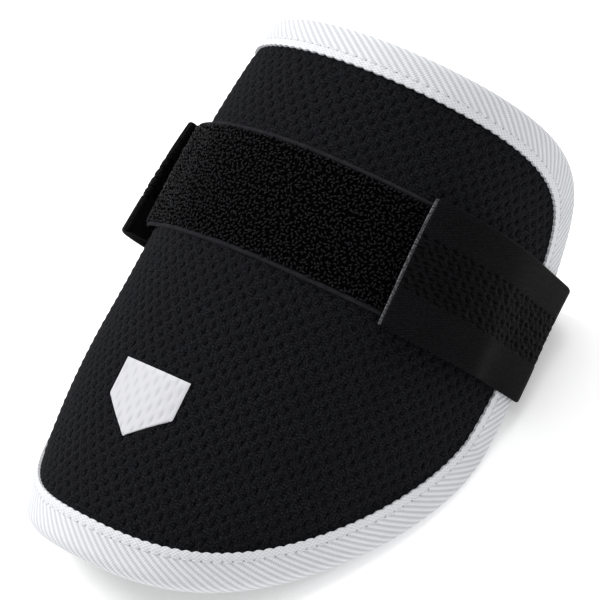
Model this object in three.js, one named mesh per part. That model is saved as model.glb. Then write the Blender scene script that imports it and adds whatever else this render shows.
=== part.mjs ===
// Baseball elbow guard: a bent padded shell in mesh cloth with a taped rim, a hook-and-loop band across its
// front and an elastic strap that goes round it. Millimetres.
// The shell has a frame of its own: x across the arm, y along the arm towards the square end, z out of the
// convex face, with the origin on the ridge. The finished guard is pitched to lie on its rims and its strap.
import * as THREE from "three";

// The shell's cross-section: an arc at the ridge that settles into nearly straight flanks.
const BEND_RADIUS = 78.6; // at the ridge, at y = 0
const BEND_LIMIT = 109; // degrees that the section turns away from the ridge, far down a flank
const BEND_SHARPNESS = 4; // how suddenly it stops turning
const TAPER_LENGTH = 100; // the length along the arm over which the shares below are counted
const BEND_TAPER = 0.232; // share of the radius lost towards the square end
const TONGUE_TIGHTENING = 0.685; // share lost past TONGUE_START
const SQUARE_EASING = 0.139; // share regained past SQUARE_START
const LEAST_RADIUS = 0.3; // share of BEND_RADIUS below which no section is bent

// The ridge seen from the side: hollow all along, with a bend down towards each end.
const HOLLOW_RADIUS = 694;
const TONGUE_START = -20; // y where the tongue starts to bend down
const TONGUE_BEND_RADIUS = 781;
const SQUARE_START = 34; // y where the square end starts to bend down
const SQUARE_BEND_RADIUS = 183;

// The cut outline of the shell, on the flattened cloth: a tongue and a square end, both superellipses.
const CENTRE_ALONG = -11.9; // y where the two meet
const TONGUE_LENGTH = 93.7; // from there to the tip of the tongue
const SQUARE_LENGTH = 124.8; // from there to the middle of the square end
const HALF_ARC = 139.9; // from the ridge to the rim along the cloth, at CENTRE_ALONG
const ARC_TAPER = 0.206; // share of the half arc gained over TAPER_LENGTH towards the square end
const TONGUE_ROUNDING = { along: 1.5, across: 2.84 }; // superellipse exponents
const SQUARE_ROUNDING = { along: 2, across: 6 };

// The padding and the tape round its rim.
const PAD_THICKNESS = 9;
const RIM_THICKNESS = 8;
const TAPE_THICKNESS = 1;
const TAPE_WIDTH = 14.5; // on each face, from the rim
const TAPE_SHOULDER = 3; // width over which the pad rises beside the tape
const SEAM_GAP = 0.3; // kept between touching pieces

// The hook-and-loop band sewn across the front.
const BAND_ALONG = 40.7; // y of its middle
const BAND_WIDTH = 45.4;
const BAND_THICKNESS = 2;
const BAND_LEFT = 78; // arc from the ridge to its left end
const BAND_RIGHT = 108; // arc from the ridge to its right end, under the strap

// The elastic strap, with a hook patch under its free end.
const STRAP_ALONG = 39.8;
const STRAP_WIDTH = 51;
const STRAP_THICKNESS = 1.8;
const STRAP_FREE_END = 69.5; // arc from the ridge to the free end
const STRAP_SLACK = 8; // how far the span on the floor hangs out towards the square end
const STRAP_SHIFT = 3; // how far the fold on the left leans towards the square end
const STRAP_LANDING = 4.7; // arc from the band's right end to where the strap lies flat over it
const FLANK_CLEARANCE = 1.2; // strap's mid-face over the tape, where it turns round the right rim
const FOLD_STANDOFF = 12; // strap's mid-face over the cloth, outside its fold on the left
const PATCH_LENGTH = 36;
const PATCH_THICKNESS = 1.2;
const PATCH_PROUD = 1.1; // how far the patch shows past the free end

// How the guard lies.
const REST_PITCH = 33; // degrees that the tongue is turned down

// The printed mark on the tongue.
const MARK_ALONG = -46; // y of its middle
const MARK_WIDTH = 34;
const MARK_HEIGHT = 27;
const MARK_POINT = 0.45; // share of the height taken by the point
const MARK_THICKNESS = 0.6;

// How finely the curved faces are divided.
const RIM_SIDES = 84;
const SECTION_STEPS = 24;
const SLOPE_STEP = 1; // length along the ridge over which its slope is taken
const NOSE_STEPS = 5;
const OUTLINE_STEPS = 720;
const WIDTH_STEPS = 4; // across a band or strap
const BAND_STEPS = 26; // along the band
const PATCH_STEPS = 8;
const CORNER_ROUNDS = 2; // times that the strap's corners are cut
const CORNER_CUT = 0.25; // share of each side that a cut takes off
const FRONT_STEPS = 6; // of the strap over the band
const MARK_STEPS = 4; // along each side of the mark
const MARK_INNER_RING = 0.5; // share of the way out to its edge

const radians = THREE.MathUtils.degToRad;
const halfRim = RIM_THICKNESS / 2;

// The shell's surface.

function bendRadius(along) {
  const tongue = Math.max(0, TONGUE_START - along) / TAPER_LENGTH;
  const square = Math.max(0, along - SQUARE_START) / TAPER_LENGTH;
  const ends = SQUARE_EASING * square ** 2 - TONGUE_TIGHTENING * tongue ** 2;
  const share = 1 - (BEND_TAPER * along) / TAPER_LENGTH + ends;
  return BEND_RADIUS * Math.max(share, LEAST_RADIUS);
}

function turnAt(arc, radius) {
  const limit = radians(BEND_LIMIT);
  const share = arc / (radius * limit);
  return (limit * share) / (1 + Math.abs(share) ** BEND_SHARPNESS) ** (1 / BEND_SHARPNESS);
}

function ridgeHeight(along) {
  const tongue = Math.max(0, TONGUE_START - along) ** 2 / (2 * TONGUE_BEND_RADIUS);
  const square = Math.max(0, along - SQUARE_START) ** 2 / (2 * SQUARE_BEND_RADIUS);
  return along ** 2 / (2 * HOLLOW_RADIUS) - tongue - square;
}

// A point of the cloth at an arc from the ridge and a place along the arm, sunk by depth into the padding.
function shellPoint(arc, along, depth) {
  const radius = bendRadius(along);
  const step = arc / SECTION_STEPS;
  const point = new THREE.Vector3(0, along, ridgeHeight(along));
  for (let k = 0; k < SECTION_STEPS; k++) {
    const turn = turnAt((k + 0.5) * step, radius);
    point.x += Math.cos(turn) * step;
    point.z -= Math.sin(turn) * step;
  }
  return point.addScaledVector(shellNormal(arc, along), -depth);
}

function shellNormal(arc, along) {
  const turn = turnAt(arc, bendRadius(along));
  const rise = ridgeHeight(along + SLOPE_STEP / 2) - ridgeHeight(along - SLOPE_STEP / 2);
  return new THREE.Vector3(Math.sin(turn), -rise / SLOPE_STEP, Math.cos(turn)).normalize();
}

// The cut outline, as places (arc, along) that run once round the rim, evenly spaced.

// The arc from the ridge to the rim, away from the rounded ends.
function sideArc(along) {
  return HALF_ARC * (1 + (ARC_TAPER * (along - CENTRE_ALONG)) / TAPER_LENGTH);
}

function outlinePoint(angle) {
  const upper = Math.cos(angle) < 0;
  const rounding = upper ? SQUARE_ROUNDING : TONGUE_ROUNDING;
  const reach = upper ? SQUARE_LENGTH : -TONGUE_LENGTH;
  const offset = reach * Math.abs(Math.cos(angle)) ** (2 / rounding.along);
  const across = sideArc(CENTRE_ALONG + offset) * Math.abs(Math.sin(angle)) ** (2 / rounding.across);
  return new THREE.Vector2(Math.sign(Math.sin(angle)) * across, CENTRE_ALONG + offset);
}

function evenLoop(points, count) {
  const closed = [...points, points[0]];
  const reach = [0];
  for (let i = 1; i < closed.length; i++) {
    reach.push(reach[i - 1] + closed[i].distanceTo(closed[i - 1]));
  }
  const total = reach[reach.length - 1];
  const loop = [];
  let at = 0;
  for (let k = 0; k < count; k++) {
    const wanted = (total * k) / count;
    while (reach[at + 1] < wanted) at++;
    const share = (wanted - reach[at]) / (reach[at + 1] - reach[at]);
    loop.push(closed[at].clone().lerp(closed[at + 1], share));
  }
  return loop;
}

const outline = evenLoop(
  Array.from({ length: OUTLINE_STEPS }, (_, k) => outlinePoint((2 * Math.PI * k) / OUTLINE_STEPS)),
  RIM_SIDES,
);

// The outline moved inwards by a distance.
function insetLoop(distance) {
  return outline.map((point, k) => {
    const next = outline[(k + 1) % RIM_SIDES];
    const last = outline[(k + RIM_SIDES - 1) % RIM_SIDES];
    const tangent = next.clone().sub(last).normalize();
    return new THREE.Vector2(point.x - tangent.y * distance, point.y + tangent.x * distance);
  });
}

const materials = {
  cloth: new THREE.MeshStandardMaterial({ color: 0x1b1c20, roughness: 0.85, metalness: 0 }),
  tape: new THREE.MeshStandardMaterial({ color: 0xe9eaee, roughness: 0.7, metalness: 0 }),
  band: new THREE.MeshStandardMaterial({ color: 0x0b0b0c, roughness: 0.6, metalness: 0 }),
  strap: new THREE.MeshStandardMaterial({ color: 0x131415, roughness: 0.9, metalness: 0 }),
  patch: new THREE.MeshStandardMaterial({ color: 0x6f7176, roughness: 0.7, metalness: 0 }),
  mark: new THREE.MeshStandardMaterial({ color: 0xf4f5f7, roughness: 0.45, metalness: 0 }),
};

// Closed meshes from rings of points.

function meshFrom(points, faces, name, material) {
  const geometry = new THREE.BufferGeometry();
  const coordinates = points.flatMap((p) => [p.x, p.y, p.z]);
  geometry.setAttribute("position", new THREE.Float32BufferAttribute(coordinates, 3));
  geometry.setIndex(faces);
  geometry.computeVertexNormals();
  const mesh = new THREE.Mesh(geometry, material);
  mesh.name = name;
  return mesh;
}

// Two triangles, split along the shorter diagonal, so that faces that follow each other bend the same way.
function quad(points, faces, a, b, c, d) {
  if (points[a].distanceTo(points[c]) < points[b].distanceTo(points[d])) {
    faces.push(a, b, c, a, c, d);
  } else {
    faces.push(a, b, d, b, c, d);
  }
}

// Rings joined one to the next, facing out when they turn anticlockwise seen from before the first.
function joinRings(points, faces, ringCount, size, wrap) {
  for (let i = 0; i < ringCount - (wrap ? 0 : 1); i++) {
    for (let j = 0; j < size; j++) {
      const here = i * size;
      const next = ((i + 1) % ringCount) * size;
      const turn = (j + 1) % size;
      quad(points, faces, here + j, next + j, next + turn, here + turn);
    }
  }
}

// A body closed by a point at each end of its rings.
function domedBody(first, rings, last, name, material) {
  const size = rings[0].length;
  const points = [...rings.flat(), first, last];
  const faces = [];
  const start = rings.length * size;
  const end = (rings.length - 1) * size;
  joinRings(points, faces, rings.length, size, false);
  for (let j = 0; j < size; j++) {
    faces.push(start, j, (j + 1) % size);
    faces.push(start + 1, end + ((j + 1) % size), end + j);
  }
  return meshFrom(points, faces, name, material);
}

// A strip with rows of points on its mid-face, thickened both ways into one closed body.
function stripBody(rows, thickness, name, material) {
  const width = rows[0].length;
  const size = 2 * width;
  const rings = rows.map((row, i) => {
    const normals = row.map((point, j) => stripNormal(rows, i, j));
    const upper = row.map((point, j) => point.clone().addScaledVector(normals[j], thickness / 2));
    const lower = row.map((point, j) => point.clone().addScaledVector(normals[j], -thickness / 2));
    return [...upper, ...lower.reverse()];
  });
  const points = rings.flat();
  const faces = [];
  const end = (rows.length - 1) * size;
  joinRings(points, faces, rows.length, size, false);
  for (let j = 0; j < width - 1; j++) {
    const back = size - 1 - j;
    quad(points, faces, j, j + 1, back - 1, back);
    quad(points, faces, end + j, end + back, end + back - 1, end + j + 1);
  }
  return meshFrom(points, faces, name, material);
}

function stripNormal(rows, i, j) {
  const run = rows[Math.min(i + 1, rows.length - 1)][j].clone().sub(rows[Math.max(i - 1, 0)][j]);
  const across = rows[i][Math.min(j + 1, rows[i].length - 1)].clone().sub(rows[i][Math.max(j - 1, 0)]);
  return run.cross(across).normalize();
}

// The padded shell.

const CLOTH_RINGS = [1, 0.93, 0.84, 0.74, 0.63, 0.51, 0.38, 0.25, 0.12]; // shares of the way out to the tape
const tapeSeat = TAPE_THICKNESS + SEAM_GAP;
const shellCentre = new THREE.Vector2(0, CENTRE_ALONG);

function shellRing(loop, depth) {
  return loop.map((place) => shellPoint(place.x, place.y, depth));
}

function clothRing(share, depth) {
  const edge = insetLoop(TAPE_WIDTH + TAPE_SHOULDER);
  return shellRing(edge.map((place) => shellCentre.clone().lerp(place, share)), depth);
}

// The rounded nose of the rim, from its outer face round to its inner one.
function noseRings(radius, steps) {
  const rings = [];
  for (let k = 0; k <= steps; k++) {
    const angle = (Math.PI * k) / steps;
    rings.push(shellRing(insetLoop(halfRim - radius * Math.sin(angle)), halfRim - radius * Math.cos(angle)));
  }
  return rings;
}

function padShell() {
  const innerSeat = RIM_THICKNESS - tapeSeat;
  const middle = (depth) => shellPoint(shellCentre.x, shellCentre.y, depth);
  const rings = [
    ...[...CLOTH_RINGS].reverse().map((share) => clothRing(share, 0)),
    shellRing(insetLoop(TAPE_WIDTH + 2 * SEAM_GAP), tapeSeat),
    ...noseRings(halfRim - tapeSeat, NOSE_STEPS),
    shellRing(insetLoop(TAPE_WIDTH + 2 * SEAM_GAP), innerSeat),
    ...CLOTH_RINGS.map((share) => clothRing(share, PAD_THICKNESS)),
  ];
  return domedBody(middle(0), rings, middle(PAD_THICKNESS), "pad_shell", materials.cloth);
}

// The tape: a channel folded over the rim, closed on itself.
function edgeBinding() {
  const inner = halfRim - TAPE_THICKNESS;
  const rings = [
    shellRing(insetLoop(TAPE_WIDTH), 0),
    ...noseRings(halfRim, NOSE_STEPS),
    shellRing(insetLoop(TAPE_WIDTH), RIM_THICKNESS),
    shellRing(insetLoop(TAPE_WIDTH), RIM_THICKNESS - TAPE_THICKNESS),
    ...noseRings(inner, NOSE_STEPS).reverse(),
    shellRing(insetLoop(TAPE_WIDTH), TAPE_THICKNESS),
  ];
  const points = rings.flat();
  const faces = [];
  joinRings(points, faces, rings.length, RIM_SIDES, true);
  return meshFrom(points, faces, "edge_binding", materials.tape);
}

// A strip laid on the cloth between two arcs, its mid-face at a height above it.
function laidStrip(from, to, along, width, height, steps) {
  const rows = [];
  for (let i = 0; i <= steps; i++) {
    const arc = THREE.MathUtils.lerp(from, to, i / steps);
    rows.push(widthOffsets(width).map((offset) => shellPoint(arc, along + offset, -height)));
  }
  return rows;
}

function widthOffsets(width) {
  return Array.from({ length: WIDTH_STEPS + 1 }, (_, j) => width * (j / WIDTH_STEPS - 0.5));
}

// What lies on what over the right side of the front: cloth, band, patch, strap.
const bandHeight = SEAM_GAP + BAND_THICKNESS / 2;
const bandTop = SEAM_GAP + BAND_THICKNESS;
const patchHeight = bandTop + SEAM_GAP + PATCH_THICKNESS / 2;
const patchTop = bandTop + SEAM_GAP + PATCH_THICKNESS;
const strapOverPatch = patchTop + SEAM_GAP + STRAP_THICKNESS / 2;

function fastenerBand() {
  const rows = laidStrip(-BAND_LEFT, BAND_RIGHT, BAND_ALONG, BAND_WIDTH, bandHeight, BAND_STEPS);
  return stripBody(rows, BAND_THICKNESS, "fastener_band", materials.band);
}

function strapEndPatch() {
  const from = STRAP_FREE_END - PATCH_PROUD;
  const rows = laidStrip(from, from + PATCH_LENGTH, STRAP_ALONG, STRAP_WIDTH, patchHeight, PATCH_STEPS);
  return stripBody(rows, PATCH_THICKNESS, "strap_end_patch", materials.patch);
}

// The strap's run over the shell. On the left its sewn end rises into a fold that stands off the cloth and
// goes down outside it. Arcs are shares of the shell's half arc there, heights shares of FOLD_STANDOFF, and
// leans shares of STRAP_SHIFT.
const LEFT_RUN = [
  { arc: 0.7, height: 0.11, lean: 0 },
  { arc: 0.62, height: 0.11, lean: 0 },
  { arc: 0.55, height: 0.34, lean: 0.4 },
  { arc: 0.485, height: 0.6, lean: 0.9 },
  { arc: 0.458, height: 0.76, lean: 1 },
  { arc: 0.485, height: 0.9, lean: 1 },
  { arc: 0.56, height: 1, lean: 0.9 },
  { arc: 0.7, height: 1, lean: 0.6 },
  { arc: 0.86, height: 0.8, lean: 0.3 },
  { arc: 1, height: 0.48, lean: 0 },
];
// On the right it comes up close to the tape. Heights are shares of FLANK_CLEARANCE.
const RIGHT_RUN = [
  { arc: 1, height: 1.2 },
  { arc: 0.92, height: 1.25 },
  { arc: 0.84, height: 1.4 },
  { arc: 0.78, height: 2.2 },
];
// Below the guard it hangs from both rims and lies flat in the middle. Places across are shares of the way
// out to the rim, heights shares of the way from the floor up to it.
const FLOOR_RUN = [
  { across: -0.84, height: 0.58 },
  { across: -0.69, height: 0.2 },
  { across: -0.55, height: 0 },
  { across: -0.45, height: 0 },
  { across: 0.45, height: 0 },
  { across: 0.55, height: 0 },
  { across: 0.69, height: 0.2 },
  { across: 0.84, height: 0.58 },
];

function strapColumn(offset, rest) {
  const along = STRAP_ALONG + offset;
  const reach = sideArc(along);
  const left = LEFT_RUN.map(({ arc, height, lean }) =>
    shellPoint(-arc * reach, along + lean * STRAP_SHIFT, -height * FOLD_STANDOFF),
  );
  const right = RIGHT_RUN.map(({ arc, height }) => shellPoint(arc * reach, along, -height * FLANK_CLEARANCE));
  const floor = FLOOR_RUN.map(({ across, height }) => {
    const hem = across < 0 ? left[left.length - 1] : right[0];
    const point = rest.floorPoint(offset).lerp(hem, height);
    return point.setX(across * Math.abs(hem.x));
  });
  return cutCorners([...left, ...floor, ...right, ...strapFront(along)]);
}

// The stretch over the band and the patch, from the flank to the free end.
function strapFront(along) {
  const from = BAND_RIGHT + STRAP_LANDING;
  return Array.from({ length: FRONT_STEPS + 1 }, (_, k) =>
    shellPoint(THREE.MathUtils.lerp(from, STRAP_FREE_END, k / FRONT_STEPS), along, -strapOverPatch),
  );
}

// Rounds a run of points by cutting off each corner.
function cutCorners(points) {
  let run = points;
  for (let round = 0; round < CORNER_ROUNDS; round++) {
    const cut = run.slice(0, -1).flatMap((point, k) => [
      point.clone().lerp(run[k + 1], CORNER_CUT),
      point.clone().lerp(run[k + 1], 1 - CORNER_CUT),
    ]);
    run = [run[0], ...cut, run[run.length - 1]];
  }
  return run;
}

function elasticStrap(rest) {
  const columns = widthOffsets(STRAP_WIDTH).reverse().map((offset) => strapColumn(offset, rest));
  const rows = columns[0].map((_, i) => columns.map((column) => column[i]));
  return stripBody(rows, STRAP_THICKNESS, "elastic_strap", materials.strap);
}

// The mark: a plain home plate, its point towards the tip of the tongue. Corners are shares of its width and
// height from its middle.
const MARK_CORNERS = [
  { across: -0.5, along: 0.5 },
  { across: -0.5, along: MARK_POINT - 0.5 },
  { across: 0, along: -0.5 },
  { across: 0.5, along: MARK_POINT - 0.5 },
  { across: 0.5, along: 0.5 },
];

function frontMark() {
  const edge = MARK_CORNERS.flatMap((corner, k) => {
    const next = MARK_CORNERS[(k + 1) % MARK_CORNERS.length];
    return Array.from({ length: MARK_STEPS }, (_, i) => ({
      across: THREE.MathUtils.lerp(corner.across, next.across, i / MARK_STEPS) * MARK_WIDTH,
      along: THREE.MathUtils.lerp(corner.along, next.along, i / MARK_STEPS) * MARK_HEIGHT,
    }));
  });
  const top = SEAM_GAP + MARK_THICKNESS;
  const ring = (share, height) =>
    edge.map(({ across, along }) => shellPoint(across * share, MARK_ALONG + along * share, -height));
  const upper = [ring(MARK_INNER_RING, top), ring(1, top)];
  const lower = [ring(1, SEAM_GAP), ring(MARK_INNER_RING, SEAM_GAP)];
  const middle = (height) => shellPoint(0, MARK_ALONG, -height);
  return domedBody(middle(top), [...upper, ...lower], middle(SEAM_GAP), "front_mark", materials.mark);
}

// How the guard lies: pitched, the lowest point of its rim on the floor, the strap's span flat under it.
function restOf(binding) {
  const pitch = new THREE.Matrix4().makeRotationX(radians(REST_PITCH));
  const pitched = binding.geometry.clone().applyMatrix4(pitch);
  const lift = -new THREE.Box3().setFromBufferAttribute(pitched.attributes.position).min.z;
  const back = pitch.clone().invert();
  const hem = shellPoint(sideArc(STRAP_ALONG), STRAP_ALONG, 0).applyMatrix4(pitch);
  const floorPoint = (offset) =>
    new THREE.Vector3(0, hem.y + STRAP_SLACK + offset, STRAP_THICKNESS / 2 - lift).applyMatrix4(back);
  return { lift, floorPoint };
}

const binding = edgeBinding();
const rest = restOf(binding);
const shellGroup = new THREE.Group();
shellGroup.add(padShell(), binding, fastenerBand(), strapEndPatch(), elasticStrap(rest), frontMark());
shellGroup.rotation.x = radians(REST_PITCH);
shellGroup.position.z = rest.lift;

// The part's origin is on the floor, under the middle of the guard's box.
const guard = new THREE.Group();
guard.add(shellGroup);
const middle = new THREE.Box3().setFromObject(guard, true).getCenter(new THREE.Vector3());
guard.position.set(-middle.x, -middle.y, 0);

export default guard;
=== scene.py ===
# Baseball elbow guard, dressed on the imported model: padding in mesh cloth, white binding, hook-and-loop
# band, knitted elastic strap. Metres throughout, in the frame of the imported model.
import math

import bpy
import numpy as np
from mathutils import Matrix, Vector, kdtree


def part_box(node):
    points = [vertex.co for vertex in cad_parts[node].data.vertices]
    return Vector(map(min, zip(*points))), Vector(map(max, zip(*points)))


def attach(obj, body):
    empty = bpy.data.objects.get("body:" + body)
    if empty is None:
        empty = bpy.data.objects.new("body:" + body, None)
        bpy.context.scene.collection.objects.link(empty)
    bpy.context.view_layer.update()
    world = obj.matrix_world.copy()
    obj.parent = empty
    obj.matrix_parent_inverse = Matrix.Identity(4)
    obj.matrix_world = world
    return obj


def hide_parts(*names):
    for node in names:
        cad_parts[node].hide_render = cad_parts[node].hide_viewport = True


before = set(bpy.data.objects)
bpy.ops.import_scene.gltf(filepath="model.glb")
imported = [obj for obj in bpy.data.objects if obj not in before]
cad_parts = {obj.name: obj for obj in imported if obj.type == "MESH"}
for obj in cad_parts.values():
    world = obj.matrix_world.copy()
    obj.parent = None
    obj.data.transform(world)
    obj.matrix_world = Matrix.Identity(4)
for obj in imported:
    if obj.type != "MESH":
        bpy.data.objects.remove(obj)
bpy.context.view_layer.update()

scene = bpy.context.scene
MM = 0.001

# The shell's section across the arm: an arc at the ridge that settles into nearly straight flanks.
BEND_RADIUS = 78.6 * MM
BEND_LIMIT = math.radians(109)
BEND_SHARPNESS = 4
TAPER_LENGTH = 100 * MM
BEND_TAPER = 0.232
TONGUE_TIGHTENING = 0.685
SQUARE_EASING = 0.139
LEAST_RADIUS = 0.3

# The ridge seen from the side.
HOLLOW_RADIUS = 694 * MM
TONGUE_START = -20 * MM
TONGUE_BEND_RADIUS = 781 * MM
SQUARE_START = 34 * MM
SQUARE_BEND_RADIUS = 183 * MM

# The cut outline on the flattened cloth.
CENTRE_ALONG = -11.9 * MM
TONGUE_LENGTH = 93.7 * MM
SQUARE_LENGTH = 124.8 * MM
HALF_ARC = 139.9 * MM
ARC_TAPER = 0.206
TONGUE_ROUNDING = (1.5, 2.84)  # exponents along and across
SQUARE_ROUNDING = (2, 6)

# Padding and binding.
PAD_THICKNESS = 9 * MM
RIM_THICKNESS = 8 * MM
TAPE_THICKNESS = 1 * MM
TAPE_WIDTH = 14.5 * MM
TAPE_ACROSS = 2 * TAPE_WIDTH - RIM_THICKNESS + math.pi * RIM_THICKNESS / 2  # laid flat
TAPE_SHOULDER = 4 * MM
TAPE_SEAT = 1.15 * MM  # depth of the cloth under the binding
PAD_EDGE = 8.5 * MM  # from the rim to the padding's hidden edge inside the binding
PAD_START = 0.9 * MM  # depth of the cloth before the padding swells
PAD_SWELL = 1.5 * MM  # most that it swells
SWELL_FRAMES = 20
SWELL_CLOTH = {
    "quality": 6, "mass": 0.3, "tension_stiffness": 12, "compression_stiffness": 12, "shear_stiffness": 8,
    "bending_stiffness": 1.5, "vertex_group_mass": "held",
    "use_pressure": True, "uniform_pressure_force": 4,
}

# The band across the front.
BAND_ALONG = 40.7 * MM
BAND_WIDTH = 45.4 * MM
BAND_LEFT = 78 * MM
BAND_RIGHT = 108 * MM
BAND_SEAT = 0.15 * MM  # clearance over the cloth
BAND_LIFT = 2.6 * MM  # where it bows off the cloth beside the strap's fold
LIFT_FROM = -42 * MM
LIFT_MOST = -62 * MM
LIFT_TO = -78 * MM
BAND_LIFT_LOST = 0.8  # share of the bow that is gone at its end
BAND_BODY = 1.0 * MM  # thickness under the pile
BAND_WANDER = 0.12 * MM  # of its edges, sideways
BAND_ROUGHNESS = 0.09 * MM  # of the ground under the pile
SELVAGE_WIDTH = 2.0 * MM
PILE_HEIGHT = 0.95 * MM
PILE_PITCH = 1.62 * MM
PILE_THREAD = 0.3 * MM  # radius
PILE_REACH = 0.6 * MM  # half a loop's length
PILE_ROOT = 0.25 * MM  # depth of a loop's ends in the ground
PILE_MARGIN = 0.8 * MM  # free of loops at the band's ends
PILE_SCATTER = 0.3  # of a loop out of its row, as a share of the pitch
PILE_HEADING = (math.radians(35), math.radians(55))  # mean and spread
PILE_SIZES = (0.75, 1.2)  # shares of a loop's reach
PILE_HEIGHTS = (0.65, 1.1)
PILE_LEAN = 0.3 * MM

# The strap and the hook patch under its free end.
STRAP_ALONG = 39.8 * MM
STRAP_WIDTH = 51 * MM
STRAP_THICKNESS = 1.8 * MM
STRAP_FREE_END = 69.5 * MM
STRAP_SLACK = 8 * MM
STRAP_SHIFT = -1.3 * MM
STRAP_LANDING = 4.7 * MM
FLANK_CLEARANCE = 1.2 * MM
FOLD_STANDOFF = 12 * MM
STRAP_OVER_PATCH = 5.0 * MM  # height of its mid-face over the cloth
PATCH_LENGTH = 36 * MM
PATCH_PROUD = 0.6 * MM
PATCH_INSET = 0.55 * MM  # from the strap's edges
PATCH_HEIGHT = 3.2 * MM
PATCH_THICKNESS = 1.2 * MM
PATCH_LUMP = 0.1 * MM

# The mark on the tongue.
MARK_ALONG = -46 * MM
MARK_WIDTH = 34 * MM
MARK_HEIGHT = 27 * MM
MARK_POINT = 0.45
MARK_THICKNESS = 0.35 * MM
MARK_BEVEL = 0.04  # share of its size
MARK_DENTS = 0.35  # how much of the cloth's dents shows in the film

# How the guard lies.
REST_PITCH = math.radians(33)

# The cloth's dents. Each cell of a pattern holds one pit at its corner and one in the row between, shifted
# along the cell's first side. half is half a pit's size before it is turned by its slant.
DENT_CELL = (5.98 * MM, 6.72 * MM)  # across and along
HALF_CELL = (DENT_CELL[0] / 2, DENT_CELL[1] / 2)
DENTS = {"cell": DENT_CELL, "shift": HALF_CELL[0], "half": (0.5 * MM, 1.75 * MM), "slant": 0.0}
DENT_DEPTH = 0.85 * MM
PUFF_HEIGHT = 0.34 * MM  # of the cloth between the dents
DENT_START = 2 * MM  # from the binding to where the relief is whole
OUTER_FACES = (6, 3)  # faces of the outer cloth along the sides of half a cell, across and along
CLOTH_LOOPS = (0.86 * MM, 0.72 * MM)

# The binding's surface.
RIPPLE_PITCH = 2.05 * MM
RIPPLE_ANGLE = math.radians(34)
RIPPLE_HEIGHT = 0.11 * MM
CHECK_PITCH = 0.9 * MM  # of the threads that cross the ripples
ROW_PITCH = 1.05 * MM  # of the threads between the seam and the tape's edge
PILLOW_HEIGHT = 0.2 * MM  # of the tape between its edge and two needle holes
STITCH_PITCH = 4.2 * MM
STITCH_INSET = 3.2 * MM  # from the tape's inner edge
STITCH_THREAD = 0.2 * MM  # radius
STITCH_SPAN = (0.12, 0.88)  # of the way from hole to hole, where the thread is seen
STITCH_RISE = 0.34 * MM
STITCH_SUNK = 0.26 * MM  # depth of the thread's ends
SEAM_WIDTH = 0.6 * MM
SEAM_DEPTH = 0.05 * MM
HOLE_DEPTH = 0.28 * MM
SCALLOP_DEPTH = 0.55 * MM
SCALLOP_REACH = 2 * MM

# The strap's knit.
SLOT_CELL = (4.3 * MM, 4.3 * MM)  # along the strap and across it
SLOTS = {"cell": SLOT_CELL, "shift": 1.5 * MM, "half": (1.75 * MM, 0.66 * MM), "slant": math.radians(-18)}
SLOT_DEPTH = 0.55 * MM
CORD_HEIGHT = 0.16 * MM  # of the knit between the slots
KNIT_WOBBLE = 0.4 * MM  # of the slots out of their rows
KNIT_FROM = 0.27 * STRAP_WIDTH  # from the strap's edge
KNIT_TO = 0.7 * STRAP_WIDTH
KNIT_END_OPEN = 0.75  # how open the knit is at the free end, against 1 on the flank
WOBBLE_ALONG = (11 * MM, 6 * MM)  # periods along the strap and across it
WOBBLE_ACROSS = (7 * MM, -9 * MM)
STRAP_EDGE = np.array([0, 0.12, 0.45, 1.0]) * MM  # columns of its rounded edge
STRAP_END_ROUNDING = 1.2 * MM
PLAIN_INSETS = (1.8 * MM, 1.5 * MM)  # of the plain columns, from the two edges
STRAP_TWILL = (2.1 * MM, -1.05 * MM)
RIB_PITCH = 0.7 * MM  # of the strap's ribs and of the band's weave

# Resolution.
SECTION_STEPS = 24
SLOPE_STEP = 1 * MM
OUTLINE_STEPS = 20000
DISTANCE_PLACES = 3000
PACKED_OUTLINE = (84, 720)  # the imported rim's places and steps
PACKED_NOSE = 5
SWELL_STEP = 5.5 * MM
TAPE_STEP = 0.56 * MM
OUTER_RINGS, NOSE_RINGS, INNER_RINGS, HIDDEN_RINGS = 18, 18, 12, 6  # round the tape's section
TAPE_ROUNDS = 3  # of smoothing of its direction
STITCH_STEPS = 7
THREAD_SIDES = 6
BAND_STEP = 1 * MM
STRAP_STEP = 0.8 * MM
PLAIN_STEP = 1.3 * MM
KNIT_STEP = 0.5 * MM
PATCH_STEPS = (90, 130)
MARK_STEPS = 44

# Angles in degrees from which edges are shaded sharp.
SHEET_CREASE = 60
KNIT_CREASE = 70
THREAD_CREASE = 80

# The camera: where it looks from, in degrees and metres, and what it looks at.
VIEW_AZIMUTH = 52.13
VIEW_ELEVATION = 36.52
VIEW_ROLL = 16.48
VIEW_DISTANCE = 0.7624
VIEW_AIM = Vector((0.02398, 0.02629, -0.01685))  # in the pitched shell's frame, from the ridge's origin
VIEW_LENS = 124.4
VIEW_SENSOR = 36.0
VIEW_RANGE = (0.01, 20)

# The studio.
FLOOR_HALF = 6.0
FLOOR_GLOW = 0.3
WORLD_STRENGTH = 0.62
LIGHT_DISTANCE = 1.6
LIGHT_SIZE = 0.9
LIGHTS = {"key": ((-0.9, -0.3, 1.3), 18.5), "top": ((0.05, 0.7, 1.4), 7.5)}  # directions and powers

random = np.random.default_rng(7)


def smooth(t):
    t = np.clip(t, 0, 1)
    return t * t * (3 - 2 * t)


def unit(vectors):
    return vectors / np.maximum(np.linalg.norm(vectors, axis=-1, keepdims=True), 1e-9)


def distances(line):
    """Distance of each point of a line from its start, along the line."""
    return np.concatenate([[0], np.cumsum(np.linalg.norm(np.diff(line, axis=0), axis=1))])


def at_distance(wanted, reached, line):
    """Places on the line at the distances that are wanted."""
    return np.stack([np.interp(wanted, reached, column) for column in line.T], -1)


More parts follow.
